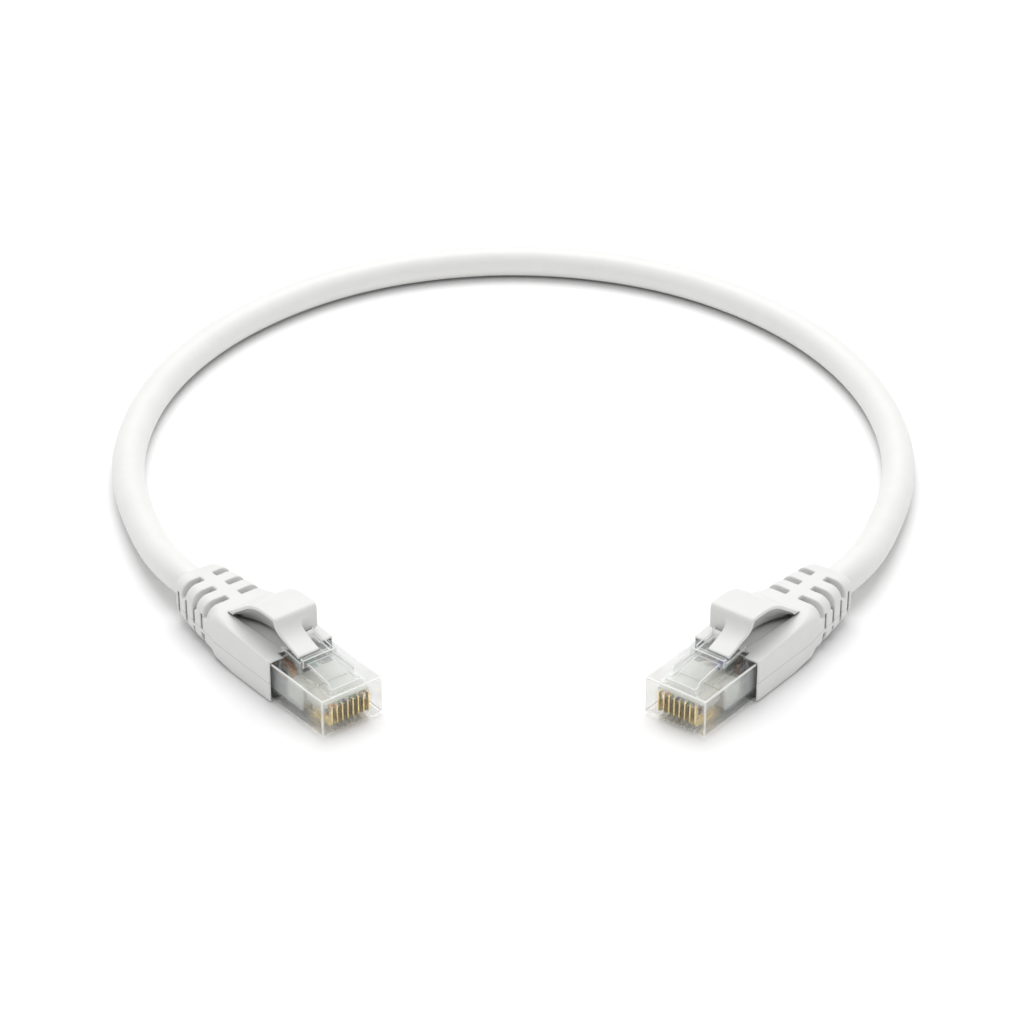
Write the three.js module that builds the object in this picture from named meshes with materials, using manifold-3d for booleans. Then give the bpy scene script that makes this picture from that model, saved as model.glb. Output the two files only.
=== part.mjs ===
// Ethernet patch cable: a round white cord laid in an open loop, with a clear
// 8-contact modular plug and a moulded snagless boot on each end.
//
// Millimetres, +Z up. The cord lies on the plane z = 0. The origin is on that
// plane, midway between the two plug ends, which point towards -Y.
//
// Each end is drawn once in its own frame, then placed twice: x across the plug,
// y back from the plug's nose along its axis, z up from the resting surface. The
// latch and its cover are drawn for the right end and mirrored for the left one.

import * as THREE from 'three';
import { mergeVertices } from 'three/addons/utils/BufferGeometryUtils.js';
import Module from 'manifold-3d';

const wasm = await Module();
wasm.setup();

// ---------------------------------------------------------------- dimensions

// 8-position modular plug, the standard connector's envelope
const PLUG = { width: 11.68, height: 6.6, length: 21.46, base: 0.5, chamfer: 0.35 };
const PLUG_TOP = PLUG.base + PLUG.height;
const PIN_COUNT = 8;
const PIN_PITCH = 1.02;

// placing of the two ends
const NOSE_X = 25.3; // nose centre from the mid plane
const NOSE_Y = -16.6;
const YAW = THREE.MathUtils.degToRad(38.4); // plug axes turned towards each other

// cord
const CORD_RADIUS = 2.85;
const JACKET_BORE = 2.3;
const CORD_REST = 2.9; // centreline height where the cord lies on the surface
const CORD_IN_PLUG = 3.8; // centreline height inside the plug
const CORD_AT_EXIT = 4.45; // centreline height at the boot's rear end
const RISE_START = 22; // back from the nose, where the cord begins to rise
const JACKET_START = 16; // back from the nose, where the jacket is stripped
const SEPARATOR_START = 17;
const CONDUCTOR_START = 1.9;
const CONDUCTOR_RADIUS = 0.36;
const CONDUCTOR_ROW = 4.3; // height of the flat row of conductors in the plug
const PAIR_RADIUS = 1.35; // each twisted pair's distance from the cord's centre
const PAIR_HALF_GAP = 0.46;

// plug interior
const SLOT = { width: 0.55, top: 3.75, rear: 6.4, noseTop: 5.1, noseRear: 1.5 }; // one contact's
const WIRE_CHAMBER = { half: 4.3, front: 1.4, rear: 6.3, low: 3.6, high: 5.1 };
const GUIDE_CHAMBER = { half: 5.1, front: 6.2, rear: 15.7, low: 1.7, high: 6.0 };
const JACKET_CHAMBER = { half: 4.4, front: 15.6, low: 0.85, high: 6.75 };
const TROUGH = { half: 3.5, front: 1.0, rear: 15.2, floor: 6.4 };
const GUIDE = { half: 4.7, front: 6.6, rear: 10.8, low: 2.1, high: 5.3 };
const GUIDE_HOLE = { width: 0.94, low: 3.8, high: 4.82 };
const GUIDE_LIP = { half: 4.2, front: 1.6, low: 4.8, high: 5.06 }; // thin plate over the row

// boot
const BOOT = { front: 13.7, shoulder: 29.3, rear: 44, half: 6.34, top: 8.6, fit: 0.12 };
const CORD_BORE = 3.15;
const RELIEF_CORE = 3.65; // sleeve left round the cord where the relief is slotted
const COVER_SLOT = { frontHalf: 2.35, rearHalf: 3.3, rear: 29.5, floor: 7.45 };
const LATCH_SLOT_HALF = 3.5;
const TOP_SLOTS = { first: 31.85, pitch: 3.58, count: 3, length: 1.25, inner: 1.2, low: 6.7 };
const SIDE_SLOTS = { first: 32.3, pitch: 2.6, count: 4, length: 0.7, inner: 3 };
const BRIDGE = { low: 2.9, high: 3.8, slotTop: 6.25 }; // uncut band along each side

// latch and its cover; the tongue stands off centre, towards each end's outer side
const LATCH = { half: 3.3, stemHalf: 2.4, rootHalf: 2.9, rimInner: -2.7 };
const TONGUE = { inner: -0.85, outer: 3.15 };
const COVER = { outer: 3.8, inner: -4.4, front: 9.7, wall: 14.85, root: 29.25, foot: 2.2 };
const FLANK_LOW = 8.6; // underside of the cover beside its foot
const COVER_SCOOP_FRONT = 15.3;

// ------------------------------------------------------------- solid helpers

const X_AXIS = new THREE.Vector3(1, 0, 0);
const Y_AXIS = new THREE.Vector3(0, 1, 0);
const UP = new THREE.Vector3(0, 0, 1);

// An outline drawn in one of these planes is extruded along the third axis.
const SIDE_VIEW = new THREE.Matrix4().makeBasis(Y_AXIS, UP, X_AXIS);
const FRONT_VIEW = new THREE.Matrix4().makeBasis(X_AXIS, UP, Y_AXIS.clone().negate());

function toSolid(geometry) {
  geometry.deleteAttribute('normal');
  geometry.deleteAttribute('uv');
  const merged = mergeVertices(geometry, 1e-4);
  return new wasm.Manifold(new wasm.Mesh({
    numProp: 3,
    vertProperties: Float32Array.from(merged.attributes.position.array),
    triVerts: Uint32Array.from(merged.index.array),
  }));
}

function toGeometry(solid) {
  const mesh = solid.getMesh();
  const geometry = new THREE.BufferGeometry();
  geometry.setAttribute('position', new THREE.BufferAttribute(mesh.vertProperties, 3));
  geometry.setIndex(new THREE.BufferAttribute(mesh.triVerts, 1));
  return geometry;
}

function outlineShape(points) {
  return new THREE.Shape(points.map(([u, v]) => new THREE.Vector2(u, v)));
}

function extrude(outline, from, to, view) {
  const geometry = new THREE.ExtrudeGeometry(outlineShape(outline), {
    depth: to - from,
    bevelEnabled: false,
  });
  geometry.translate(0, 0, from);
  if (view) geometry.applyMatrix4(view);
  return toSolid(geometry);
}

// outline in (back, height), as wide as +-half
const sidePrism = (outline, half) => extrude(outline, -half, half, SIDE_VIEW);
// outline in (across, height), between two distances back
const frontPrism = (outline, front, rear) => extrude(outline, -rear, -front, FRONT_VIEW);
// outline in (across, back), between two heights
const planPrism = (outline, low, high) => extrude(outline, low, high, null);

function box(left, right, front, rear, low, high) {
  const geometry = new THREE.BoxGeometry(right - left, rear - front, high - low);
  geometry.translate((left + right) / 2, (front + rear) / 2, (low + high) / 2);
  return toSolid(geometry);
}

// points of one side, (half width, back), mirrored into a closed plan outline
function mirroredPlan(rightSide) {
  const leftSide = rightSide.map(([half, back]) => [-half, back]).reverse();
  return [...rightSide, ...leftSide];
}

// rectangle with its corners cut by quarter circles of `steps` chords
function roundedSection(half, low, high, radius, steps) {
  const points = [];
  const corners = [[half - radius, low + radius, -90], [half - radius, high - radius, 0],
    [radius - half, high - radius, 90], [radius - half, low + radius, 180]];
  for (const [cx, cz, start] of corners) {
    for (let i = 0; i <= steps; i += 1) {
      const angle = THREE.MathUtils.degToRad(start + (90 * i) / steps);
      points.push([cx + radius * Math.cos(angle), cz + radius * Math.sin(angle)]);
    }
  }
  return points;
}

// cylinder round the cord's straight run through the boot
function cordCylinder(radius, front, rear) {
  const segments = 16;
  const slope = (CORD_AT_EXIT - CORD_IN_PLUG) / (BOOT.rear - RISE_START);
  const geometry = new THREE.CylinderGeometry(radius, radius, rear - front, segments);
  const middle = (front + rear) / 2;
  geometry.rotateX(Math.atan(slope));
  geometry.translate(0, middle, CORD_IN_PLUG + slope * (middle - RISE_START));
  return toSolid(geometry);
}

// Pin 1 is on the -x side: on the right, looking along the nose with the latch up.
const pinX = (pin) => (pin - (PIN_COUNT - 1) / 2) * PIN_PITCH;

// ------------------------------------------------------------ pieces of an end

// Clear body: contact slots below, wire chamber, guide chamber and jacket
// chamber in a row, and a shallow trough that the latch sinks into.
function plugHousing() {
  const section = roundedSection(PLUG.width / 2, PLUG.base, PLUG_TOP, PLUG.chamfer, 1);
  let solid = frontPrism(section, 0, PLUG.length);
  const slot = [[-1, -1], [SLOT.rear, -1], [SLOT.rear, SLOT.top], [SLOT.noseRear, SLOT.top],
    [SLOT.noseRear, SLOT.noseTop], [-1, SLOT.noseTop]];
  for (let pin = 0; pin < PIN_COUNT; pin += 1) {
    const left = pinX(pin) - SLOT.width / 2;
    solid = solid.subtract(extrude(slot, left, left + SLOT.width, SIDE_VIEW));
  }
  const wires = WIRE_CHAMBER;
  const guide = GUIDE_CHAMBER;
  const jacket = JACKET_CHAMBER;
  const rear = PLUG.length + 1;
  const top = PLUG_TOP + 1;
  return solid
    .subtract(box(-wires.half, wires.half, wires.front, wires.rear, wires.low, wires.high))
    .subtract(box(-guide.half, guide.half, guide.front, guide.rear, guide.low, guide.high))
    .subtract(box(-jacket.half, jacket.half, jacket.front, rear, jacket.low, jacket.high))
    .subtract(box(-TROUGH.half, TROUGH.half, TROUGH.front, TROUGH.rear, TROUGH.floor, top));
}

// Springy latch: a stem from the nose, then the wide part whose front shoulder
// locks in the jack. A rim along its inner side stands beside the pad that the
// cover's tongue rests on.
function latch() {
  const side = [[1.4, 6.75], [2.7, 6.75], [8.4, 7.9], [14.5, 8.5], [14.5, 10.25], [9.2, 9.45],
    [8.4, 9.4], [8.4, 8.5], [3.0, 7.7], [1.4, 7.5]];
  const plan = mirroredPlan([[LATCH.rootHalf, 0], [LATCH.rootHalf, 1.9], [LATCH.stemHalf, 3.2],
    [LATCH.stemHalf, 8.4], [LATCH.half, 8.4], [LATCH.half, 16]]);
  const pad = [[9.2, 8.55], [16, 9.25], [16, 12], [9.2, 12]];
  return sidePrism(side, 4)
    .intersect(planPrism(plan, 6, 11))
    .subtract(extrude(pad, LATCH.rimInner, 4, SIDE_VIEW));
}

// Load bar: eight holes hold the conductors in a flat row, and a thin plate
// reaches forward over them to the contacts.
function wireGuide() {
  const bar = box(-GUIDE.half, GUIDE.half, GUIDE.front, GUIDE.rear, GUIDE.low, GUIDE.high);
  const lip = GUIDE_LIP;
  let solid = bar.add(box(-lip.half, lip.half, lip.front, GUIDE.front + 0.5, lip.low, lip.high));
  const front = GUIDE.front - 1;
  const rear = GUIDE.rear + 1;
  const hole = GUIDE_HOLE;
  for (let pin = 0; pin < PIN_COUNT; pin += 1) {
    const left = pinX(pin) - hole.width / 2;
    solid = solid.subtract(box(left, left + hole.width, front, rear, hole.low, hole.high));
  }
  return solid;
}

// Gold blade: a flat contact edge below, two piercing teeth above and a post at
// the nose.
function contact(pin) {
  const blade = [[1.2, 1.0], [5.3, 1.0], [5.6, 1.3], [5.6, 2.9], [5.2, 3.55], [4.8, 2.9], [3.7, 2.9],
    [3.3, 3.55], [2.9, 2.9], [1.5, 2.9], [1.2, 3.3], [1.2, 4.75], [1.0, 4.95], [0.7, 4.95],
    [0.5, 4.75], [0.5, 1.7]];
  const thickness = 0.3;
  const x = pinX(pin);
  return extrude(blade, x - thickness / 2, x + thickness / 2, SIDE_VIEW);
}

// Outer form of the boot: a crisp sleeve over the plug, then a rounded strain
// relief that tapers to the cord.
function bootBlank() {
  const side = [[BOOT.front, 0], [33, 0], [38, 0.3], [42.4, 0.95], [43.6, 1.5], [BOOT.rear, 2.3],
    [BOOT.rear, 7.2], [43.7, 7.9], [42.9, 8.4], [41, BOOT.top], [30, BOOT.top], [BOOT.front, 7.6]];
  const plan = mirroredPlan([[BOOT.half, BOOT.front], [BOOT.half, BOOT.shoulder], [5.95, 30.8],
    [4.7, 42.6], [4.35, 43.5], [3.8, BOOT.rear]]);
  const sleeve = frontPrism(roundedSection(BOOT.half, 0, BOOT.top + 1, 0.35, 1), BOOT.front - 1, 30.6);
  const relief = frontPrism(roundedSection(5.98, 0, BOOT.top, 2.3, 3), 30, BOOT.rear + 1);
  return sleeve.add(relief)
    .intersect(sidePrism(side, BOOT.half + 1))
    .intersect(planPrism(plan, -1, BOOT.top + 2));
}

// Everything cut round the relief, leaving a sleeve on the cord, a spine along
// the top and a bridge along each side.
function reliefSlots() {
  const wide = BOOT.half + 1;
  const cuts = [];
  for (let row = 0; row < TOP_SLOTS.count; row += 1) {
    const front = TOP_SLOTS.first + row * TOP_SLOTS.pitch;
    const rear = front + TOP_SLOTS.length;
    cuts.push(box(TOP_SLOTS.inner, wide, front, rear, TOP_SLOTS.low, BOOT.top + 1));
    cuts.push(box(-wide, -TOP_SLOTS.inner, front, rear, TOP_SLOTS.low, BOOT.top + 1));
  }
  for (let row = 0; row < SIDE_SLOTS.count; row += 1) {
    const front = SIDE_SLOTS.first + row * SIDE_SLOTS.pitch;
    const rear = front + SIDE_SLOTS.length;
    for (const [left, right] of [[SIDE_SLOTS.inner, wide], [-wide, -SIDE_SLOTS.inner]]) {
      cuts.push(box(left, right, front, rear, BRIDGE.high, BRIDGE.slotTop));
      cuts.push(box(left, right, front, rear, -1, BRIDGE.low));
    }
  }
  const all = cuts.reduce((joined, cut) => joined.add(cut));
  return all.subtract(cordCylinder(RELIEF_CORE, 28, 48));
}

function boot() {
  const plugHalf = PLUG.width / 2 + BOOT.fit;
  const plugPocket = box(-plugHalf, plugHalf, BOOT.front - 1, PLUG.length + 0.3,
    PLUG.base - BOOT.fit, PLUG_TOP + BOOT.fit);
  const slot = COVER_SLOT;
  const slotPlan = mirroredPlan([[slot.frontHalf, BOOT.front - 1], [slot.frontHalf, BOOT.front],
    [slot.rearHalf, slot.rear - 2], [slot.rearHalf, slot.rear]]);
  const pocketEnd = PLUG.length + 0.3;
  return bootBlank()
    .subtract(plugPocket)
    .subtract(cordCylinder(CORD_BORE, 20, 48))
    .subtract(reliefSlots())
    .subtract(planPrism(slotPlan, PLUG_TOP, 12)
      .subtract(box(-BOOT.half, BOOT.half, pocketEnd, BOOT.rear, 0, slot.floor)))
    .subtract(box(-LATCH_SLOT_HALF, LATCH_SLOT_HALF, BOOT.front - 1, TROUGH.rear, PLUG_TOP, 12));
}

// Flexing hood over the latch: a ramp from the boot's rear top, a level cap
// with scooped sides, and a tongue that curves down on to the latch's pad.
function latchCover() {
  const side = [[COVER.root, 7.8], [COVER.root, 8.58], [27.5, 9.6], [22.8, 12.6], [21.4, 13.3],
    [20, 13.7], [18.4, 13.9], [16.2, 13.9], [15.5, 13.75], [15.15, 13.3], [14.95, 12.5],
    [14.5, 11.75], [13.9, 11.15], [13.1, 10.65], [12.1, 10.2], [10.6, 9.7], [9.9, 9.45],
    [9.7, 9.25], [9.7, 8.95], [15, 9.6], [15.3, 9.5], [15.3, 8.2], [21.6, 8.05]];
  const plan = [[TONGUE.inner, COVER.front], [TONGUE.outer, COVER.front], [TONGUE.outer, 13.4],
    [COVER.outer, 15.2], [COVER.outer, 30], [COVER.inner, 30], [COVER.inner, COVER.wall],
    [TONGUE.inner, COVER.wall - 0.2]];
  const scoop = [[COVER.foot, 7], [6, 7], [6, 13.3], [3.8, 13.3], [3.3, 12.6], [2.7, 11.4],
    [COVER.foot, 9]];
  const run = sidePrism([[COVER_SCOOP_FRONT, 7], [27, 7], [27, 8.6], [22, 13.9],
    [COVER_SCOOP_FRONT, 13.9]], 6);
  const mirroredScoop = scoop.map(([x, z]) => [-x, z]).reverse();
  const wide = 6;
  return sidePrism(side, wide)
    .intersect(planPrism(plan, 7, 15))
    .subtract(frontPrism(scoop, COVER_SCOOP_FRONT, 30).intersect(run))
    .subtract(frontPrism(mirroredScoop, COVER_SCOOP_FRONT, 30).intersect(run))
    .subtract(box(COVER.foot, wide, COVER_SCOOP_FRONT, 30, 7, FLANK_LOW))
    .subtract(box(-wide, -COVER.foot, COVER_SCOOP_FRONT, 30, 7, FLANK_LOW));
}

// -------------------------------------------------------------------- the cord

// The free cord's centreline from the right boot to the middle of the loop,
// in (x, y, z); the left half is its mirror image.
const RIGHT_ROUTE = [
  [59.0, 28.0, 4.0], [63.2, 39.5, 3.3], [66.2, 51.0, 2.95], [67.5, 63.0, CORD_REST],
  [66.8, 75.0, CORD_REST], [64.4, 86.5, CORD_REST], [60.2, 97.6, CORD_REST],
  [54.2, 108.1, CORD_REST], [46.3, 117.7, CORD_REST], [36.7, 126.0, CORD_REST],
  [25.5, 132.4, CORD_REST], [13.0, 136.4, CORD_REST], [0, 137.8, CORD_REST],
];
const END_STATIONS = [CONDUCTOR_START, 11, 12, 13, 14, 15, JACKET_START, SEPARATOR_START, RISE_START,
  BOOT.rear, 47];
const TWIST = Math.PI; // the pairs turn half round between the two plugs

// a point on an end's axis, `back` from the nose; side is +1 right, -1 left
function axisPoint(side, back, height) {
  const x = NOSE_X + back * Math.sin(YAW);
  return new THREE.Vector3(side * x, NOSE_Y + back * Math.cos(YAW), height);
}

function axisHeight(back) {
  const run = Math.max(0, back - RISE_START) / (BOOT.rear - RISE_START);
  return CORD_IN_PLUG + run * (CORD_AT_EXIT - CORD_IN_PLUG);
}

// Stations along the cord from the left plug to the right one, each a point
// with its distance back from the nearer nose.
function stations(start) {
  const end = (side) => END_STATIONS.filter((back) => back >= start)
    .map((back) => ({ back, point: axisPoint(side, back, axisHeight(back)) }));
  const free = (side) => RIGHT_ROUTE
    .map(([x, y, z]) => ({ back: Infinity, point: new THREE.Vector3(side * x, y, z) }));
  return [...end(-1), ...free(-1), ...free(1).slice(0, -1).reverse(), ...end(1).reverse()];
}

// A path through the stations whose frames stay upright, plus the given twist.
// `offset` moves the path sideways and up in those frames.
class CordPath extends THREE.Curve {
  constructor(start, offset) {
    super();
    const list = stations(start);
    const centre = new THREE.CatmullRomCurve3(list.map(({ point }) => point), false, 'centripetal');
    const last = list.length - 1;
    const free = list.filter(({ back }) => back === Infinity).length;
    const lead = (list.length - free) / 2;
    this.points = [];
    this.frames = { tangents: [], normals: [], binormals: [] };
    list.forEach(({ back, point }, i) => {
      const tangent = centre.getTangent(i / last);
      const sideways = new THREE.Vector3().crossVectors(UP, tangent).normalize();
      const upright = new THREE.Vector3().crossVectors(tangent, sideways);
      const turn = TWIST * THREE.MathUtils.clamp((i - lead + 1) / (free + 1), 0, 1);
      const cos = Math.cos(turn);
      const sin = Math.sin(turn);
      const { across, up } = offset(back, i < last / 2, cos, sin);
      this.points.push(point.clone().addScaledVector(sideways, across).addScaledVector(upright, up));
      this.frames.tangents.push(tangent);
      this.frames.normals.push(sideways.clone().multiplyScalar(cos).addScaledVector(upright, sin));
      this.frames.binormals.push(upright.clone().multiplyScalar(cos).addScaledVector(sideways, -sin));
    });
  }

  getSpacedPoints() {
    return this.points;
  }

  computeFrenetFrames() {
    return this.frames;
  }
}

const centred = () => ({ across: 0, up: 0 });

function sweep(shape, path) {
  const geometry = new THREE.ExtrudeGeometry(shape, {
    steps: path.points.length - 1,
    extrudePath: path,
    bevelEnabled: false,
  });
  return toSolid(geometry);
}

function polygon(radius, sides, PathClass) {
  const points = [];
  for (let i = 0; i < sides; i += 1) {
    const angle = (2 * Math.PI * (i + 0.5)) / sides;
    points.push(new THREE.Vector2(radius * Math.cos(angle), radius * Math.sin(angle)));
  }
  return new PathClass(points);
}

function jacket() {
  const ring = polygon(CORD_RADIUS, 12, THREE.Shape);
  ring.holes.push(polygon(JACKET_BORE, 10, THREE.Path));
  return sweep(ring, new CordPath(JACKET_START, centred));
}

// X-shaped filler that keeps the four pairs apart
function separator() {
  const reach = 2.05;
  const half = 0.11;
  const arm = [[half, half], [half, reach], [-half, reach]];
  const outline = [];
  for (let quarter = 0; quarter < 4; quarter += 1) {
    const angle = (Math.PI / 2) * quarter + Math.PI / 4;
    for (const [x, y] of arm) {
      const u = x * Math.cos(angle) - y * Math.sin(angle);
      const v = x * Math.sin(angle) + y * Math.cos(angle);
      outline.push(new THREE.Vector2(u, v));
    }
  }
  return sweep(new THREE.Shape(outline), new CordPath(SEPARATOR_START, centred));
}

// The eight insulated conductors in pin order, with their place in the bundle:
// two on the left (orange), two on the right (brown), green above, blue below.
const CONDUCTORS = [
  { name: 'wire_1_white_orange', color: 0xf0c8a0, across: PAIR_RADIUS, up: -PAIR_HALF_GAP },
  { name: 'wire_2_orange', color: 0xe07a2a, across: PAIR_RADIUS, up: PAIR_HALF_GAP },
  { name: 'wire_3_white_green', color: 0xc4dcc0, across: PAIR_HALF_GAP, up: PAIR_RADIUS },
  { name: 'wire_4_blue', color: 0x3c6fb4, across: PAIR_HALF_GAP, up: -PAIR_RADIUS },
  { name: 'wire_5_white_blue', color: 0xbccbe0, across: -PAIR_HALF_GAP, up: -PAIR_RADIUS },
  { name: 'wire_6_green', color: 0x3f9a54, across: -PAIR_HALF_GAP, up: PAIR_RADIUS },
  { name: 'wire_7_white_brown', color: 0xd8c6b4, across: -PAIR_RADIUS, up: PAIR_HALF_GAP },
  { name: 'wire_8_brown', color: 0x7a4a2c, across: -PAIR_RADIUS, up: -PAIR_HALF_GAP },
];

// One conductor from plug to plug. In each plug it moves from its place in the
// round bundle first up or down, then sideways, into the flat row.
function conductor(pin) {
  const { across, up } = CONDUCTORS[pin];
  const rowUp = CONDUCTOR_ROW - CORD_IN_PLUG;
  const offset = (back, atLeft, cos, sin) => {
    const bundleAcross = across * cos - up * sin;
    const bundleUp = across * sin + up * cos;
    const rowAcross = (atLeft ? -1 : 1) * pinX(pin);
    const spread = THREE.MathUtils.smoothstep(back, 12.4, JACKET_START);
    const lift = THREE.MathUtils.smoothstep(back, 11, 14);
    return {
      across: THREE.MathUtils.lerp(rowAcross, bundleAcross, spread),
      up: THREE.MathUtils.lerp(rowUp, bundleUp, lift),
    };
  };
  const path = new CordPath(CONDUCTOR_START, offset);
  return sweep(polygon(CONDUCTOR_RADIUS, 6, THREE.Shape), path);
}

// -------------------------------------------------------------------- assembly

const FINISH = {
  clear: { color: 0xdfe6e4, roughness: 0.12, metalness: 0 },
  boot: { color: 0xecebe8, roughness: 0.55, metalness: 0 },
  jacket: { color: 0xe9e8e5, roughness: 0.5, metalness: 0 },
  gold: { color: 0xd9a93c, roughness: 0.25, metalness: 1 },
  filler: { color: 0xf2f2ee, roughness: 0.6, metalness: 0 },
};

function node(name, solid, finish) {
  const mesh = new THREE.Mesh(toGeometry(solid), new THREE.MeshStandardMaterial(finish));
  mesh.name = name;
  return mesh;
}

function cableEnd(label, side) {
  const handed = (solid) => (side > 0 ? solid : solid.mirror([1, 0, 0]));
  const end = new THREE.Group();
  end.position.set(side * NOSE_X, NOSE_Y, 0);
  end.rotation.z = -side * YAW;
  end.add(node(`${label}_plug_housing`, plugHousing(), FINISH.clear));
  end.add(node(`${label}_latch`, handed(latch()), FINISH.clear));
  end.add(node(`${label}_wire_guide`, wireGuide(), FINISH.clear));
  end.add(node(`${label}_boot`, boot(), FINISH.boot));
  end.add(node(`${label}_latch_cover`, handed(latchCover()), FINISH.boot));
  for (let pin = 0; pin < PIN_COUNT; pin += 1) {
    end.add(node(`${label}_contact_${pin + 1}`, contact(pin), FINISH.gold));
  }
  return end;
}

const patchCable = new THREE.Group();
patchCable.add(cableEnd('left', -1));
patchCable.add(cableEnd('right', 1));
patchCable.add(node('cord_jacket', jacket(), FINISH.jacket));
patchCable.add(node('pair_separator', separator(), FINISH.filler));
CONDUCTORS.forEach(({ name, color }, pin) => {
  patchCable.add(node(name, conductor(pin), { color, roughness: 0.45, metalness: 0 }));
});

export default patchCable;
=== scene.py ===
"""Looks of the ethernet patch cable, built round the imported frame.

Pieces of an end are drawn in the end's own frame, in millimetres: x across the
plug, y back from its nose, z up from the surface. place() puts them in the row
frame, in metres, at the left (side -1) or the right (side 1).
"""

import math

import bmesh
import bpy
import numpy as np
from mathutils import Matrix, Vector


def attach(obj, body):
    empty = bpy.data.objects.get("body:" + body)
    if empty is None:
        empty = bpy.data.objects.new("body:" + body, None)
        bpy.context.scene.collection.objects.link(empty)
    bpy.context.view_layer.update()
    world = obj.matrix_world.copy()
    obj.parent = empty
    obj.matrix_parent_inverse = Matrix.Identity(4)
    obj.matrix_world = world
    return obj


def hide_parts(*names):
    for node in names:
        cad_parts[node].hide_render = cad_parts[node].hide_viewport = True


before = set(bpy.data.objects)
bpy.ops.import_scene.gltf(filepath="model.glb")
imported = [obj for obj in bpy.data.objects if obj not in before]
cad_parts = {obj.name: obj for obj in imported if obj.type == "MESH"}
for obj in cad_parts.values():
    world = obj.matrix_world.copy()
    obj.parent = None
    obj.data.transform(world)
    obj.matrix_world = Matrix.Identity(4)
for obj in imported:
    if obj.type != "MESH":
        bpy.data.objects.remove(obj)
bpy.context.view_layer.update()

MM = 0.001

# ----------------------------------------------------------------- dimensions

NOSE_X = 25.3
NOSE_Y = -16.6
YAW = math.radians(38.4)
SIDES = {"left": -1, "right": 1}

PLUG_HALF = 5.84
PLUG_LOW = 0.5
PLUG_TOP = 7.1
PLUG_LENGTH = 21.46
PIN_COUNT = 8
PIN_PITCH = 1.02

CORD_RADIUS = 2.85
JACKET_BORE = 2.3
JACKET_START = 16.0  # back from each nose
CONDUCTOR_START = 1.9
CONDUCTOR_RADIUS = 0.46
CONDUCTOR_ROW = 4.3  # height of the flat row in the plug
PAIR_RADIUS = 1.35
PAIR_HALF_GAP = 0.47
CORD_IN_PLUG = 3.8  # centreline height
CORD_AT_EXIT = 4.45
RISE_START = 22  # back from the nose, where the cord begins to rise
SEPARATOR_START = 17
TWIST_START = 47  # along the cord from each nose, where the pairs begin to turn

BOOT_FRONT = 13.7
BOOT_REAR = 44.0
BOOT_HALF = 6.34
BOOT_TOP = 8.6
BOOT_STEP = 0.17  # sampling of the moulded pieces
COVER_STEP = 0.12

# The free cord from the right boot to the middle of the loop, in metres in the
# row frame; the left half is its mirror image.
RIGHT_ROUTE = [
    (0.0590, 0.0280, 0.0040), (0.0632, 0.0395, 0.0033), (0.0662, 0.0510, 0.00295),
    (0.0675, 0.0630, 0.0029), (0.0668, 0.0750, 0.0029), (0.0644, 0.0865, 0.0029),
    (0.0602, 0.0976, 0.0029), (0.0542, 0.1081, 0.0029), (0.0463, 0.1177, 0.0029),
    (0.0367, 0.1260, 0.0029), (0.0255, 0.1324, 0.0029), (0.0130, 0.1364, 0.0029),
    (0.0000, 0.1378, 0.0029),
]


# --------------------------------------------------------------------- camera

CAMERA_AT = (-0.00026, -0.4899, 0.3260)  # metres
CAMERA_DOWN = 31.18  # degrees below level
LENS = 128.07  # a field of view of 16 degrees
SENSOR = 36.0


def add_camera():
    data = bpy.data.cameras.new("camera")
    data.lens = LENS
    data.sensor_width = SENSOR
    data.clip_start = 0.01
    data.clip_end = 20.0
    camera = bpy.data.objects.new("camera", data)
    camera.location = CAMERA_AT
    camera.rotation_euler = (math.radians(90 - CAMERA_DOWN), 0, 0)
    bpy.context.scene.collection.objects.link(camera)
    bpy.context.scene.camera = camera


# ------------------------------------------------------------------ materials

def material_with(name, **values):
    """A Principled material with the given socket values; spaces are underscores."""
    material = bpy.data.materials.new(name)
    material.use_nodes = True
    shader = material.node_tree.nodes["Principled BSDF"]
    for socket, value in values.items():
        shader.inputs[socket.replace("_", " ")].default_value = value
    return material


def add_node(material, kind, **settings):
    node = material.node_tree.nodes.new(kind)
    for key, value in settings.items():
        if key in node.inputs:
            node.inputs[key].default_value = value
        else:
            setattr(node, key, value)
    return node


def noise(material, scale, detail=2.0):
    """Noise in the row frame; scale is in lumps per metre."""
    coordinates = add_node(material, "ShaderNodeTexCoord")
    texture = add_node(material, "ShaderNodeTexNoise", Scale=scale, Detail=detail)
    material.node_tree.links.new(coordinates.outputs["Object"], texture.inputs["Vector"])
    return texture.outputs["Fac"]


def ramp(material, factor, stops):
    node = add_node(material, "ShaderNodeValToRGB")
    elements = node.color_ramp.elements
    while len(elements) < len(stops):
        elements.new(0.5)
    for element, (position, colour) in zip(elements, stops):
        element.position = position
        element.color = (*colour, 1)
    material.node_tree.links.new(factor, node.inputs["Fac"])
    return node.outputs["Color"]


def drive(material, socket, output):
    shader = material.node_tree.nodes["Principled BSDF"]
    material.node_tree.links.new(output, shader.inputs[socket])


def add_bump(material, height, strength, depth):
    """Bump of the given depth in metres."""
    node = add_node(material, "ShaderNodeBump", Strength=strength, Distance=depth)
    material.node_tree.links.new(height, node.inputs["Height"])
    drive(material, "Normal", node.outputs["Normal"])


def shade_pair(colour, change):
    """The colour a little darker and a little lighter."""
    darker = tuple(c * (1 - change) for c in colour)
    lighter = tuple(min(1, c * (1 + change)) for c in colour)
    return darker, lighter


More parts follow.
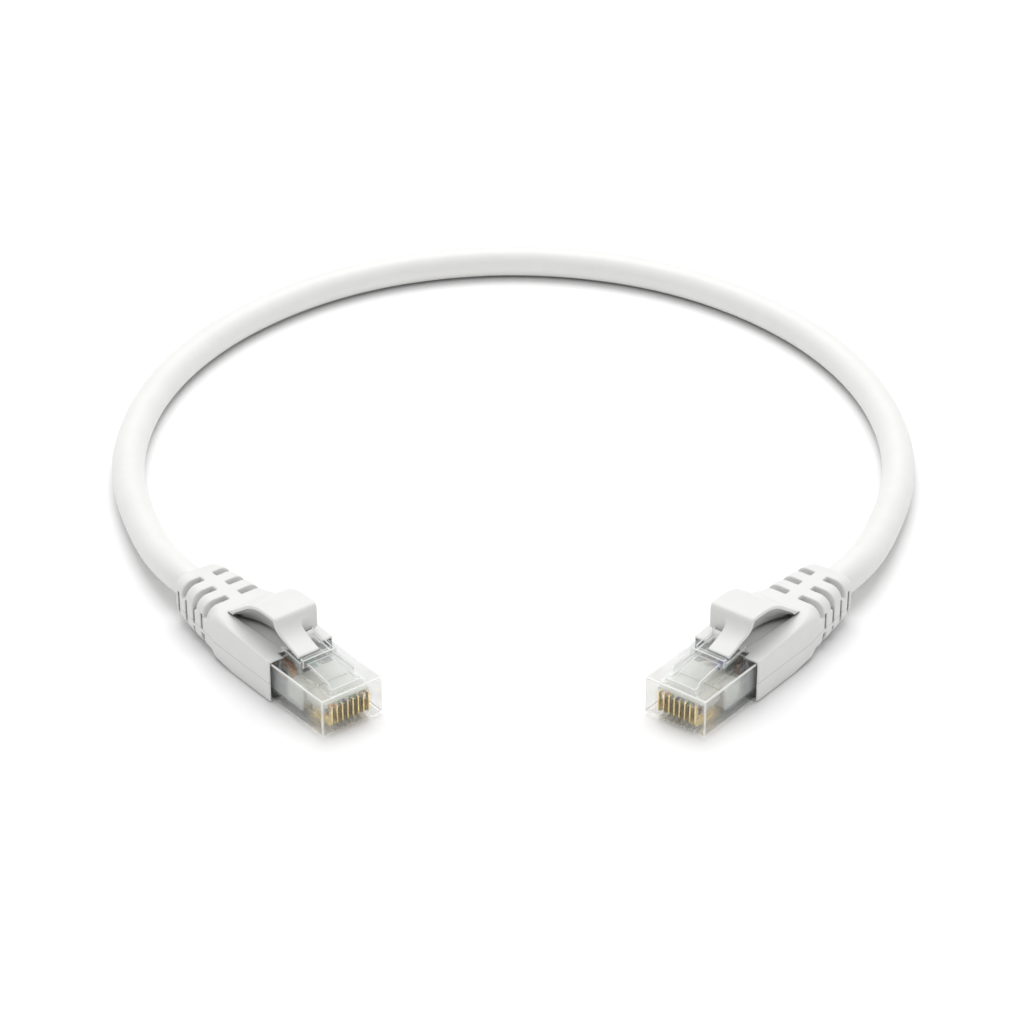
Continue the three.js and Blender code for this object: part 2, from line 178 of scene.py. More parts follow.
def painted_crevice_shade(material, colour, reach):
    """The colour with painted shade: darker where other surfaces close it in, within a reach in metres."""
    shut_in = add_node(material, "ShaderNodeAmbientOcclusion", Distance=reach, samples=12)
    # painted shade: the colour is multiplied down to about a third where the surface is most closed in
    depth = ramp(material, shut_in.outputs["AO"],
                 [(0.1, (0.32,) * 3), (0.3, (0.42,) * 3), (0.5, (0.8,) * 3), (0.62, (1,) * 3)])
    mix = add_node(material, "ShaderNodeMix", data_type="RGBA", blend_type="MULTIPLY")
    mix.inputs[0].default_value = 1.0
    material.node_tree.links.new(colour, mix.inputs[6])
    material.node_tree.links.new(depth, mix.inputs[7])
    return mix.outputs[2]


PARTING_HALF_WIDTH = 0.00007  # metres
BOOT_COLOUR = (0.755, 0.755, 0.745)
JACKET_COLOUR = (0.80, 0.80, 0.785)
FILLER_COLOUR = (0.82, 0.82, 0.78)
CLEAR_COLOUR = (0.965, 0.985, 0.98)


def parting_line(material, colour, height):
    """The colour, with the mould's thin parting line drawn at a height."""
    coordinates = add_node(material, "ShaderNodeTexCoord")
    split = add_node(material, "ShaderNodeSeparateXYZ")
    away = add_node(material, "ShaderNodeMath", operation="COMPARE")
    away.inputs[1].default_value = height
    away.inputs[2].default_value = PARTING_HALF_WIDTH
    mix = add_node(material, "ShaderNodeMix", data_type="RGBA", blend_type="MULTIPLY")
    mix.inputs[7].default_value = (0.72, 0.72, 0.72, 1)
    links = material.node_tree.links
    links.new(coordinates.outputs["Object"], split.inputs[0])
    links.new(split.outputs["Z"], away.inputs[0])
    links.new(away.outputs[0], mix.inputs[0])
    links.new(colour, mix.inputs[6])
    return mix.outputs[2]


def moulded_vinyl(name, colour, roughness, grain_scale, grain_depth, reach=0.0013, parting=None):
    """Soft white vinyl: fine spark-eroded grain, slight mottle, uneven gloss and painted shade in its
    crevices and hollows.
    """
    material = material_with(name, IOR=1.5, Specular_IOR_Level=0.45)
    darker, lighter = shade_pair(colour, 0.012)
    mottle = noise(material, 260, 4.0)
    tint = ramp(material, mottle, [(0.35, darker), (0.65, lighter)])
    if parting:
        tint = parting_line(material, tint, parting)
    # painted shade in the crevices, hollows and slots, out to the reach in metres
    drive(material, "Base Color", painted_crevice_shade(material, tint, reach))
    gloss = noise(material, 900, 3.0)
    low, high = roughness - 0.06, roughness + 0.06
    drive(material, "Roughness", ramp(material, gloss, [(0.3, (low,) * 3), (0.7, (high,) * 3)]))
    add_bump(material, noise(material, grain_scale, 3.0), 0.5, grain_depth)
    return material


def clear_plastic(name, colour, cloud, cover):
    """Clear polycarbonate with faint flow lines and a slightly uneven gloss.

    cover is how much of the surface refracts; the rest lets light straight
    through, which keeps the inside of a small clear part as bright as it is.
    """
    material = material_with(name, IOR=1.3, Transmission_Weight=1.0, Specular_IOR_Level=0.5, Alpha=cover)
    darker, lighter = shade_pair(colour, 0.012)
    drive(material, "Base Color", ramp(material, noise(material, 420, 2.0),
                                       [(0.35, darker), (0.65, lighter)]))
    gloss = noise(material, 700, 2.0)
    drive(material, "Roughness", ramp(material, gloss, [(0.3, (cloud,) * 3), (0.7, (cloud + 0.02,) * 3)]))
    add_bump(material, noise(material, 500, 2.0), 0.15, 0.00001)
    return material


def clear_edge():
    """The rounded edges of the clear parts, whiter and less clear than the rest: a painted highlight along
    the edges.
    """
    material = material_with("clear_edge", IOR=1.45, Transmission_Weight=0.3, Alpha=0.9)
    drive(material, "Base Color", ramp(material, noise(material, 900, 2.0),
                                       [(0.3, (0.9, 0.92, 0.915)), (0.7, (0.99, 0.995, 0.99))]))
    drive(material, "Roughness", ramp(material, noise(material, 1500, 2.0),
                                      [(0.3, (0.12,) * 3), (0.7, (0.25,) * 3)]))
    return material


def frosted_plastic(name, cover):
    """Clear plastic with a scattering skin: chamber walls and the latch."""
    material = material_with(name, IOR=1.45, Specular_IOR_Level=0.6, Alpha=cover)
    drive(material, "Base Color", ramp(material, noise(material, 500, 2.0),
                                       [(0.35, (0.90, 0.93, 0.92)), (0.65, (0.93, 0.955, 0.945))]))
    drive(material, "Roughness", ramp(material, noise(material, 1200, 2.0),
                                      [(0.3, (0.2,) * 3), (0.7, (0.32,) * 3)]))
    return material


def milky_plastic():
    """Translucent warm white plastic of the load bar."""
    material = material_with("milky_plastic", IOR=1.3, Specular_IOR_Level=0.4, Alpha=0.88,
                             Transmission_Weight=0.1)
    drive(material, "Base Color", ramp(material, noise(material, 600, 3.0),
                                       [(0.35, (0.80, 0.79, 0.71)), (0.65, (0.87, 0.865, 0.80))]))
    drive(material, "Roughness", ramp(material, noise(material, 1200, 2.0),
                                      [(0.3, (0.4,) * 3), (0.7, (0.55,) * 3)]))
    return material


def gold_plate():
    material = material_with("gold_plate", Metallic=1.0)
    worn = noise(material, 2500, 3.0)
    drive(material, "Base Color",
          ramp(material, worn, [(0.3, (0.90, 0.68, 0.30)), (0.7, (0.99, 0.82, 0.46))]))
    drive(material, "Roughness", ramp(material, worn, [(0.3, (0.16,) * 3), (0.7, (0.3,) * 3)]))
    add_bump(material, noise(material, 9000, 2.0), 0.4, 0.000008)
    return material


def insulation(name, colour, stripe):
    """Solid colour, or white with a stripe of the colour along the wire."""
    material = material_with(name, IOR=1.5)
    base = (0.86, 0.85, 0.82) if stripe else colour
    darker, lighter = shade_pair(base, 0.03)
    tinted = ramp(material, noise(material, 1500, 2.0), [(0.35, darker), (0.65, lighter)])
    if stripe:
        around = add_node(material, "ShaderNodeAttribute", attribute_name="around")
        band = ramp(material, around.outputs["Fac"],
                    [(0.0, (1, 1, 1)), (0.36, (1, 1, 1)), (0.38, (0, 0, 0))])
        mix = add_node(material, "ShaderNodeMix", data_type="RGBA")
        mix.inputs[7].default_value = (*colour, 1)
        material.node_tree.links.new(band, mix.inputs[0])
        material.node_tree.links.new(tinted, mix.inputs[6])
        tinted = mix.outputs[2]
    drive(material, "Base Color", tinted)
    gloss = noise(material, 3000, 2.0)
    drive(material, "Roughness", ramp(material, gloss, [(0.3, (0.3,) * 3), (0.7, (0.42,) * 3)]))
    return material


# ------------------------------------------------------------- mesh utilities

def mesh_object(name, vertices, faces):
    mesh = bpy.data.meshes.new(name)
    mesh.from_pydata([tuple(v) for v in vertices], [], [tuple(f) for f in faces])
    mesh.validate()
    obj = bpy.data.objects.new(name, mesh)
    bpy.context.scene.collection.objects.link(obj)
    return obj


def end_matrix(side):
    turn = Matrix.Rotation(-side * YAW, 4, "Z")
    move = Matrix.Translation(Vector((side * NOSE_X, NOSE_Y, 0)))
    return Matrix.Scale(MM, 4) @ move @ turn


def finish_piece(obj, materials, body, nodes, smooth_angle=35):
    """Shading, materials and the frame's bookkeeping of one finished piece."""
    mesh = obj.data
    mesh.polygons.foreach_set("use_smooth", [True] * len(mesh.polygons))
    mesh.set_sharp_from_angle(angle=math.radians(smooth_angle))
    indices = [polygon.material_index for polygon in mesh.polygons]
    mesh.materials.clear()
    for material in materials:
        mesh.materials.append(material)
    mesh.polygons.foreach_set("material_index", indices)
    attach(obj, body)
    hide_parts(*nodes)
    return obj


def place(name, source, side, handed=False):
    """A copy of a mesh drawn in the end's frame, put where that end is.

    A handed mesh is drawn for the right end and mirrored for the left one.
    """
    mesh = source.copy()
    mesh.name = name
    if handed and side < 0:
        mesh.transform(Matrix.Scale(-1, 4, (1, 0, 0)))
        mesh.flip_normals()
    mesh.transform(end_matrix(side))
    obj = bpy.data.objects.new(name, mesh)
    bpy.context.scene.collection.objects.link(obj)
    return obj


def keep_mesh(obj):
    """The object's mesh alone, in the end's frame."""
    mesh = obj.data
    bpy.data.objects.remove(obj)
    return mesh


def apply_modifiers(obj):
    depsgraph = bpy.context.evaluated_depsgraph_get()
    mesh = bpy.data.meshes.new_from_object(obj.evaluated_get(depsgraph))
    obj.modifiers.clear()
    obj.data = mesh


def combine(target, other, operation):
    modifier = target.modifiers.new(operation, "BOOLEAN")
    modifier.operation = operation
    modifier.object = other
    modifier.solver = "EXACT"
    apply_modifiers(target)
    bpy.data.objects.remove(other)


def bevel_edges(obj, width, segments, angle=30):
    modifier = obj.modifiers.new("bevel", "BEVEL")
    modifier.width = width
    modifier.segments = segments
    modifier.limit_method = "ANGLE"
    modifier.angle_limit = math.radians(angle)
    modifier.use_clamp_overlap = True
    # bevelled faces are kept apart here, so the clear parts can paint a highlight on them
    modifier.material = BEVELLED
    apply_modifiers(obj)


def prism(outline, low, high, axes, bevel=0.0, segments=2, hollow=False):
    """An outline extruded from low to high; axes are the outline's two and the third.

    A hollow is cut out of something and leaves frosted walls.
    """
    corners = []
    for level in (low, high):
        for u, v in outline:
            corner = [0.0, 0.0, 0.0]
            corner[axes[0]], corner[axes[1]], corner[axes[2]] = u, v, level
            corners.append(corner)
    count = len(outline)
    faces = [list(range(count)), list(range(count, 2 * count))]
    for i in range(count):
        j = (i + 1) % count
        faces.append([i, j, j + count, i + count])
    obj = mesh_object("prism", corners, faces)
    work = bmesh.new()
    work.from_mesh(obj.data)
    bmesh.ops.recalc_face_normals(work, faces=work.faces)
    work.to_mesh(obj.data)
    work.free()
    for material in FACE_KINDS:
        obj.data.materials.append(material)
    if bevel:
        bevel_edges(obj, bevel, segments)
    if hollow:
        obj.data.polygons.foreach_set("material_index", [HOLLOW] * len(obj.data.polygons))
    return obj


BEVELLED, HOLLOW, HOLLOW_SIDE = 1, 2, 3  # places in FACE_KINDS
# Stand-ins that keep the kinds of face apart through the cuts.
FACE_KINDS = [bpy.data.materials.new(kind) for kind in ("plain", "bevelled", "hollow", "hollow_side")]

SIDE_VIEW = (1, 2, 0)
PLAN_VIEW = (0, 1, 2)


def block(left, right, front, rear, low, high, bevel=0.0, segments=2, hollow=False):
    outline = [(left, front), (right, front), (right, rear), (left, rear)]
    return prism(outline, low, high, PLAN_VIEW, bevel, segments, hollow)


def mirrored(points):
    """Points of the +x side, closed with their mirror image."""
    return points + [(-u, v) for u, v in reversed(points)]


def rounded_corners(outline, rounds):
    """Cuts every corner of a closed outline at its quarter points, `rounds` times."""
    points = np.array(outline, float)
    for _ in range(rounds):
        after = np.roll(points, -1, axis=0)
        points = np.stack([0.75 * points + 0.25 * after, 0.25 * points + 0.75 * after], 1).reshape(-1, 2)
    return points


def filleted(outline, radius):
    """Rounds every corner of a closed outline, as far along its edges as the radius."""
    points = np.array(outline, float)
    rounded = []
    for before, corner, after in zip(np.roll(points, 1, axis=0), points, np.roll(points, -1, axis=0)):
        ends = []
        for other in (before, after):
            edge = other - corner
            length = np.linalg.norm(edge)
            ends.append(corner + edge * min(radius / length, 0.45))
        for t in (0, 0.25, 0.5, 0.75, 1):
            rounded.append((1 - t) ** 2 * ends[0] + 2 * t * (1 - t) * corner + t * t * ends[1])
    return np.array(rounded)


# -------------------------------------------------------------- moulded pieces
#
# Boots and covers are signed distance fields, sampled on a grid and skinned.
# A distance is negative inside the piece.

def polygon_distance(u, v, outline):
    """Signed distance from the points (u, v) to a closed outline."""
    points = np.array(outline, float)
    nearest = np.full(np.broadcast(u, v).shape, np.inf)
    inside = np.zeros(nearest.shape, bool)
    for (au, av), (bu, bv) in zip(points, np.roll(points, -1, axis=0)):
        du, dv = bu - au, bv - av
        length_squared = du * du + dv * dv
        if length_squared == 0:
            continue
        t = np.clip(((u - au) * du + (v - av) * dv) / length_squared, 0, 1)
        nearest = np.minimum(nearest, np.hypot(u - au - t * du, v - av - t * dv))
        if av != bv:
            inside ^= ((av > v) != (bv > v)) & (u < du * (v - av) / dv + au)
    return np.where(inside, -nearest, nearest)


def both(a, b, radius):
    """What is in a and in b, with the edge between them rounded."""
    return np.minimum(np.maximum(a, b), -radius) + np.hypot(np.maximum(a + radius, 0),
                                                            np.maximum(b + radius, 0))


def without(a, b, radius):
    return both(a, -b, radius)


def box_distance(grid, low, high, radius=0.0):
    """A box with rounded edges; low and high are its corners."""
    reach = []
    for axis, a, b in zip(grid, low, high):
        reach.append(np.abs(axis - (a + b) / 2) - (b - a) / 2 + radius)
    outside = np.sqrt(sum(np.maximum(r, 0) ** 2 for r in reach))
    inside = np.minimum(np.maximum(np.maximum(reach[0], reach[1]), reach[2]), 0)
    return outside + inside - radius


def sample_grid(low, high, step):
    """The grid's three axes, shaped to broadcast against each other."""
    x, y, z = (np.arange(a, b + step, step) for a, b in zip(low, high))
    return x[:, None, None], y[None, :, None], z[None, None, :]


def surface_net(grid, field):
    """Vertices and quads on the field's zero level."""
    axes = [axis.ravel() for axis in grid]
    step = axes[0][1] - axes[0][0]
    cells = tuple(n - 1 for n in field.shape)

    def corner(offset):
        window = tuple(slice(o, o + n) for o, n in zip(offset, cells))
        return field[window]

    total = np.zeros((*cells, 3))
    count = np.zeros(cells)
    for axis in range(3):
        others = [a for a in range(3) if a != axis]
        for u in (0, 1):
            for v in (0, 1):
                start = [0, 0, 0]
                start[others[0]], start[others[1]] = u, v
                stop = list(start)
                stop[axis] = 1
                a, b = corner(start), corner(stop)
                crosses = (a < 0) != (b < 0)
                share = np.where(crosses, a / np.where(crosses, a - b, 1), 0)
                total[..., axis] += share
                total[..., others[0]] += crosses * u
                total[..., others[1]] += crosses * v
                count += crosses
    used = count > 0
    index = np.full(cells, -1)
    index[used] = np.arange(used.sum())
    cell = np.argwhere(used)
    lowest = np.array([axis[0] for axis in axes])
    vertices = lowest + step * (cell + total[used] / count[used][:, None])

    quads = []
    for axis in range(3):
        first, second = (axis + 1) % 3, (axis + 2) % 3
        inner = [slice(1, -1)] * 3
        inner[axis] = slice(0, -1)
        ahead = list(inner)
        ahead[axis] = slice(1, None)
        a, b = field[tuple(inner)] < 0, field[tuple(ahead)] < 0
        for going_out, flip in ((a & ~b, False), (~a & b, True)):
            at = np.argwhere(going_out)
            at[:, first] += 1
            at[:, second] += 1
            ring = []
            for u, v in ((-1, -1), (0, -1), (0, 0), (-1, 0)):
                place_at = at.copy()
                place_at[:, first] += u
                place_at[:, second] += v
                ring.append(index[tuple(place_at.T)])
            quad = np.stack(ring, 1)
            quads.append(quad[:, ::-1] if flip else quad)
    return vertices, np.concatenate(quads)


def settle(vertices, quads, distance, rounds):
    """Evens out the net along the surface and pulls it back on to it."""
    count = len(vertices)
    neighbours = np.concatenate([quads[:, [i, (i + 1) % 4]] for i in range(4)])
    neighbours = np.concatenate([neighbours, neighbours[:, ::-1]])
    degree = np.bincount(neighbours[:, 0], minlength=count)[:, None]
    small = 0.01
    for _ in range(rounds):
        mean = np.stack([np.bincount(neighbours[:, 0], vertices[neighbours[:, 1], axis], count)
                         for axis in range(3)], 1) / degree
        vertices = vertices + 0.5 * (mean - vertices)
        for _ in range(2):
            here = distance(*vertices.T)
            slope = np.stack([distance(*(vertices + small * unit).T) - here
                              for unit in np.eye(3)], 1) / small
            steepness = np.maximum((slope ** 2).sum(1), 0.25)
            vertices = vertices - slope * (here / steepness)[:, None]
    return vertices


def moulded_mesh(name, distance, low, high, step):
    grid = sample_grid(low, high, step)
    vertices, quads = surface_net(grid, distance(*grid))
    vertices = settle(vertices, quads, distance, 3)
    return keep_mesh(mesh_object(name, vertices, quads))


# ------------------------------------------------------------------- the boot

BOOT_SIDE = [
    (BOOT_FRONT, 0), (33, 0), (38, 0.3), (42.2, 0.95), (43.4, 1.5), (BOOT_REAR, 2.6),
    (BOOT_REAR, 6.9), (43.6, 7.8), (42.7, 8.35), (41, BOOT_TOP), (30, BOOT_TOP), (BOOT_FRONT, 7.6),
]
BOOT_WIDTHS = [(BOOT_FRONT, BOOT_HALF), (29.0, BOOT_HALF), (31.0, 5.95), (42.4, 4.75),
               (43.4, 4.4), (BOOT_REAR, 3.85)]
BOOT_EDGES = [(24, 0.4), (29.5, 1.5), (31, 2.3)]  # radius of the long edges
CORD_BORE = 2.92
RELIEF_CORE = 3.08
TOP_SLOT_FRONTS = (31.85, 35.4, 39.0)
TOP_SLOT_LENGTH = 1.3
SIDE_SLOT_LENGTH = 0.62
# Each side slot's front, the height its upper cut goes down to, and where it has a
# lower cut, the height that comes up to and how much further forward it starts.
SIDE_SLOTS = [
    (33.4, 3.6, 2.9, 0.55), (36.1, 3.2, 2.6, 0.0), (38.7, 1.9, None, 0), (41.2, 2.3, None, 0),
]
PARTING_HEIGHT = 3.6
OPENING_WIDTHS = [(14, 2.1), (20.5, 2.8), (26, 3.3), (27.4, 3.3), (28.6, 2.4)]  # half, under the hood
OPENING_REAR = 28.6
OPENING_FLOOR = 7.45
TOP_SLOT_INNER = 1.2
TOP_SLOT_LOW = 6.0
SIDE_SLOT_INNER = 2
SIDE_SLOT_TOP = 6.5
SLOT_ROUND = 0.15  # radius inside the slots
BEYOND = 9  # past the boot's side
POCKET_GAP = 0.1  # round the plug
BORE_FRONT = 20
MOUTH = ((-3.5, 5, 7.0), (3.5, 15.2, 14))  # cut in front for the latch


def along(y, table):
    return np.interp(y, [row[0] for row in table], [row[1] for row in table])


def cord_height(back):
    run = np.clip(back - RISE_START, 0, None) / (BOOT_REAR - RISE_START)
    return CORD_IN_PLUG + run * (CORD_AT_EXIT - CORD_IN_PLUG)


def boot_distance(x, y, z):
    grid = (x, y, z)
    wide = np.abs(x)
    skin = both(wide - along(y, BOOT_WIDTHS), polygon_distance(y, z, BOOT_SIDE), along(y, BOOT_EDGES))
    core = np.hypot(x, z - cord_height(y)) - RELIEF_CORE
    mirrored_grid = (wide, y, z)
    for front in TOP_SLOT_FRONTS:
        rear = front + TOP_SLOT_LENGTH
        slot = box_distance(mirrored_grid, (TOP_SLOT_INNER, front, TOP_SLOT_LOW),
                            (BEYOND, rear, 12), SLOT_ROUND)
        skin = without(skin, without(slot, core, 0.1), 0.25)
    for front, upper_end, lower_top, forward in SIDE_SLOTS:
        rear = front + SIDE_SLOT_LENGTH
        slot = box_distance(mirrored_grid, (SIDE_SLOT_INNER, front, upper_end),
                            (BEYOND, rear, SIDE_SLOT_TOP), SLOT_ROUND)
        if lower_top:
            lower = box_distance(mirrored_grid, (SIDE_SLOT_INNER, front - forward, -3),
                                 (BEYOND, rear, lower_top), SLOT_ROUND)
            slot = np.minimum(slot, lower)
        skin = without(skin, without(slot, core, 0.1), 0.2)

    pocket = box_distance(grid, (-PLUG_HALF - POCKET_GAP, 5, PLUG_LOW - POCKET_GAP),
                          (PLUG_HALF + POCKET_GAP, PLUG_LENGTH + 0.3, PLUG_TOP + POCKET_GAP), 0.25)
    bore = np.hypot(x, z - cord_height(y)) - CORD_BORE
    skin = without(skin, pocket, 0.12)
    skin = without(skin, np.maximum(bore, BORE_FRONT - y), 0.12)
    channel = np.maximum(wide - along(y, OPENING_WIDTHS), y - OPENING_REAR)
    channel = np.maximum(channel, OPENING_FLOOR - z)
    mouth = box_distance(grid, *MOUTH, 0.2)
    return without(skin, np.minimum(channel, mouth), 0.15)


def boot_mesh():
    return moulded_mesh("boot", boot_distance, (-6.9, 13.1, -0.5), (6.9, 44.6, 9.3), BOOT_STEP)


# ----------------------------------------------------------- the latch's cover

# The hood is drawn for the right end, with its tongue off centre towards +x.
COVER_TOP = [
    (29.9, 8.3), (29.0, 8.62), (28.0, 9.15), (27.0, 9.8), (25.2, 11.1), (22.9, 12.75), (21.4, 13.4),
    (19.8, 13.8), (18, 13.9), (16.4, 13.9), (15.5, 13.8), (15.15, 13.3), (14.95, 12.5), (14.5, 11.75),
    (13.9, 11.15), (13.1, 10.65), (12.1, 10.2), (10.6, 9.7), (9.8, 9.45), (9.7, 9.2),
]
COVER_UNDER = [(9.75, 8.92), (10.4, 8.98), (15, 9.55), (15.3, 9.5), (15.35, 8.42), (16, 8.4),
               (21.6, 8.12), (29.2, 7.8), (29.9, 7.8)]
COVER_OUTER = 3.8
COVER_INNER = -4.4
COVER_PLAN = [
    (-0.85, 9.7), (3.2, 9.7), (3.2, 13.2), (3.45, 14.4), (COVER_OUTER, 15.4), (COVER_OUTER, 31),
    (COVER_INNER, 31), (COVER_INNER, 14.95), (-0.85, 14.75),
]
COVER_LIP = 0.55  # thickness left along the edge of each side pocket
POCKET_FOOT = 0.5  # half width left between the two side pockets
POCKET_COVE = 2.5  # how far in from the lip the pocket is at its deepest
POCKET_REAR = ((22.9, 13.2), (27.6, 8.4))  # its rear edge, seen from the side
POCKET_TURN = 5.5  # how far ahead of that edge the pocket is at its deepest
POCKET_WALL = 15.6  # the far side's pocket starts behind this, which leaves its front wall
COVER_HINGE = 29.3  # the flanks slope from here, which leaves room for the hood to tilt
COVER_SLOPE = math.tan(math.radians(3.6))  # how far the pressed hood tilts
FLANK_LOW = 8.63  # underside beside the foot, at the hinge
FLANK_FRONT = 15.2  # the gap beside the foot starts behind this
FOOT_HALF = 2.2


def quarter_round(share):
    """0 to 1 along a quarter circle that starts steeply."""
    return np.sqrt(1 - (1 - np.clip(share, 0, 1)) ** 2)


def pocket_distance(x, y, z, under_skin):
    """The pocket scooped out of each side, deepest in front and below."""
    (top_y, top_z), (low_y, low_z) = POCKET_REAR
    run_y, run_z = low_y - top_y, low_z - top_z
    ahead = ((y - top_y) * run_z - (z - top_z) * run_y) / math.hypot(run_y, run_z)
    cove = 0.7 + 0.3 * quarter_round((under_skin - COVER_LIP) / POCKET_COVE)
    inward = quarter_round(ahead / POCKET_TURN) * cove
    widest = np.where(x > 0, COVER_OUTER, -COVER_INNER) + 0.2
    wall = widest - (widest - POCKET_FOOT) * inward
    front_wall = np.where(x > 0, -1.0, POCKET_WALL - y)
    return np.maximum(np.maximum(wall - np.abs(x), COVER_LIP - under_skin), front_wall)


def cover_distance(x, y, z):
    side = rounded_corners(COVER_TOP + COVER_UNDER, 2)
    outer = rounded_corners(COVER_TOP + [(9.7, 0), (29.9, 0)], 2)
    skin = both(polygon_distance(y, z, side), polygon_distance(x, y, filleted(COVER_PLAN, 0.45)), 0.15)
    under_skin = -polygon_distance(y, z, outer)
    skin = without(skin, pocket_distance(x, y, z, under_skin), 0.1)
    flank_low = FLANK_LOW + COVER_SLOPE * np.maximum(COVER_HINGE - y, 0)
    gap = np.maximum(np.maximum(FOOT_HALF - np.abs(x), z - flank_low), FLANK_FRONT - y)
    return without(skin, gap, 0.1)


def cover_mesh():
    return moulded_mesh("cover", cover_distance, (-4.9, 9.2, 7.3), (4.3, 30.2, 14.4), COVER_STEP)


# --------------------------------------------------------------- the clear plug

def pin_x(pin):
    return (pin - (PIN_COUNT - 1) / 2) * PIN_PITCH


SLOT_HALF = 0.275
CONTACT_SLOT = [(-1, -1), (6.4, -1), (6.4, 3.75), (1.5, 3.75), (1.5, 5.1), (-1, 5.1)]


def housing_mesh():
    body = block(-PLUG_HALF, PLUG_HALF, 0, PLUG_LENGTH, PLUG_LOW, PLUG_TOP, 0.25, 2)
    # left, right, front, rear, low, high, bevel and frosted, as the loop below names them
    hollows = [
        (-4.3, 4.3, 1.4, 6.3, 3.6, 5.1, 0.12, True),
        (-5.1, 5.1, 6.2, 15.7, 1.7, 6.0, 0.25, True),
        (-4.4, 4.4, 15.6, PLUG_LENGTH + 1, 0.85, 6.75, 0.3, True),
        (-3.5, 3.5, 1.0, 15.2, 6.4, PLUG_TOP + 1, 0.14, False),
    ]
    for left, right, front, rear, low, high, bevel, frosted in hollows:
        combine(body, block(left, right, front, rear, low, high, bevel, 2, frosted), "DIFFERENCE")
    for pin in range(PIN_COUNT):
        x = pin_x(pin)
        slot = prism(CONTACT_SLOT, x - SLOT_HALF, x + SLOT_HALF, SIDE_VIEW, hollow=True)
        combine(body, slot, "DIFFERENCE")
    for face in body.data.polygons:
        outer = abs(face.normal.x) > 0.7 and abs(face.center.x) > 4
        if face.material_index == HOLLOW and outer:
            face.material_index = HOLLOW_SIDE
    return keep_mesh(body)


LATCH_SIDE = [
    (1.3, 6.75), (2.7, 6.75), (8.4, 7.9), (14.5, 8.5), (14.5, 10.25), (9.2, 9.45), (8.4, 9.4), (8.4, 8.5),
    (3.0, 7.7), (1.3, 7.5),
]
LATCH_PLAN = mirrored([(2.9, 0), (2.9, 1.9), (2.4, 3.2), (2.4, 8.4), (3.3, 8.4), (3.3, 16)])
LATCH_PAD = [(9.2, 8.55), (16, 9.25), (16, 12), (9.2, 12)]
LATCH_RIM = -2.7  # inner side of the rim beside the pad, at the right end


def latch_mesh():
    body = prism(LATCH_SIDE, -4, 4, SIDE_VIEW)
    combine(body, prism(LATCH_PLAN, 6, 11, PLAN_VIEW), "INTERSECT")
    combine(body, prism(LATCH_PAD, LATCH_RIM, 4, SIDE_VIEW), "DIFFERENCE")
    bevel_edges(body, 0.14, 2)
    return keep_mesh(body)


# -------------------------------------------------------------------- the cord

def axis_point(side, back):
    """A point on an end's axis, in metres in the row frame."""
    x = side * (NOSE_X + back * math.sin(YAW))
    y = NOSE_Y + back * math.cos(YAW)
    return np.array([x, y, float(cord_height(back))]) * MM


def smooth_line(points, spacing):
    """Natural cubic spline through the points, sampled evenly along its length."""
    points = np.array(points)
    knots = np.concatenate([[0], np.cumsum(np.linalg.norm(np.diff(points, axis=0), axis=1))])
    gaps = np.diff(knots)
    count = len(points)
    system = np.eye(count)
    right = np.zeros((count, 3))
    for i in range(1, count - 1):
        system[i, i - 1:i + 2] = gaps[i - 1], 2 * (gaps[i - 1] + gaps[i]), gaps[i]
        right[i] = 6 * ((points[i + 1] - points[i]) / gaps[i] - (points[i] - points[i - 1]) / gaps[i - 1])
    bend = np.linalg.solve(system, right)
    fine = np.linspace(0, knots[-1], 4000)
    span = np.clip(np.searchsorted(knots, fine, "right") - 1, 0, count - 2)
    a = ((knots[span + 1] - fine) / gaps[span])[:, None]
    b = 1 - a
    width = (gaps[span] ** 2)[:, None] / 6
    line = (a * points[span] + b * points[span + 1]
            + ((a ** 3 - a) * bend[span] + (b ** 3 - b) * bend[span + 1]) * width)
    run = np.concatenate([[0], np.cumsum(np.linalg.norm(np.diff(line, axis=0), axis=1))])
    even = np.linspace(0, run[-1], int(run[-1] / spacing) + 1)
    return np.stack([np.interp(even, run, line[:, axis]) for axis in range(3)], 1), even


def cord_line():
    """The whole centreline, nose to nose, with the distance along it."""
    backs = (0, 5.5, 11, 16.5, 22, 27.5, 33, 38.5, 44, 47)
    right = [np.array(p) for p in RIGHT_ROUTE]
    left = [p * (-1, 1, 1) for p in right]
    points = [axis_point(-1, back) for back in backs] + left
    points += right[-2::-1] + [axis_point(1, back) for back in reversed(backs)]
    return smooth_line(points, 0.001)


def upright_frames(line):
    """Tangents with a level sideways direction and the upright one."""
    tangent = np.gradient(line, axis=0)
    tangent /= np.linalg.norm(tangent, axis=1)[:, None]
    sideways = np.cross([0, 0, 1], tangent)
    sideways /= np.linalg.norm(sideways, axis=1)[:, None]
    return sideways, np.cross(tangent, sideways)


def rings_along(line, section):
    """Copies of a section (sideways, up), one at each point of the line."""
    sideways, upright = upright_frames(line)
    return (line[:, None] + section[None, :, :1] * sideways[:, None]
            + section[None, :, 1:] * upright[:, None])


def circle(radius, sides):
    angle = np.linspace(0, 2 * math.pi, sides, endpoint=False)
    return radius * np.stack([np.cos(angle), np.sin(angle)], 1)


def skin_rings(rings, flip=False):
    """Quads between neighbouring rings, as vertex numbers."""
    count, around = rings.shape[:2]
    i, j = np.meshgrid(np.arange(count - 1), np.arange(around), indexing="ij")
    k = (j + 1) % around
    quads = np.stack([i * around + j, i * around + k, (i + 1) * around + k, (i + 1) * around + j], -1)
    quads = quads.reshape(-1, 4)
    return quads[:, ::-1] if flip else quads


def solid_sweep(name, rings):
    """A closed sweep with flat ends."""
    count, around = rings.shape[:2]
    faces = [list(q) for q in skin_rings(rings)]
    faces.append(list(range(around))[::-1])
    faces.append([(count - 1) * around + j for j in range(around)])
    return mesh_object(name, rings.reshape(-1, 3), faces)


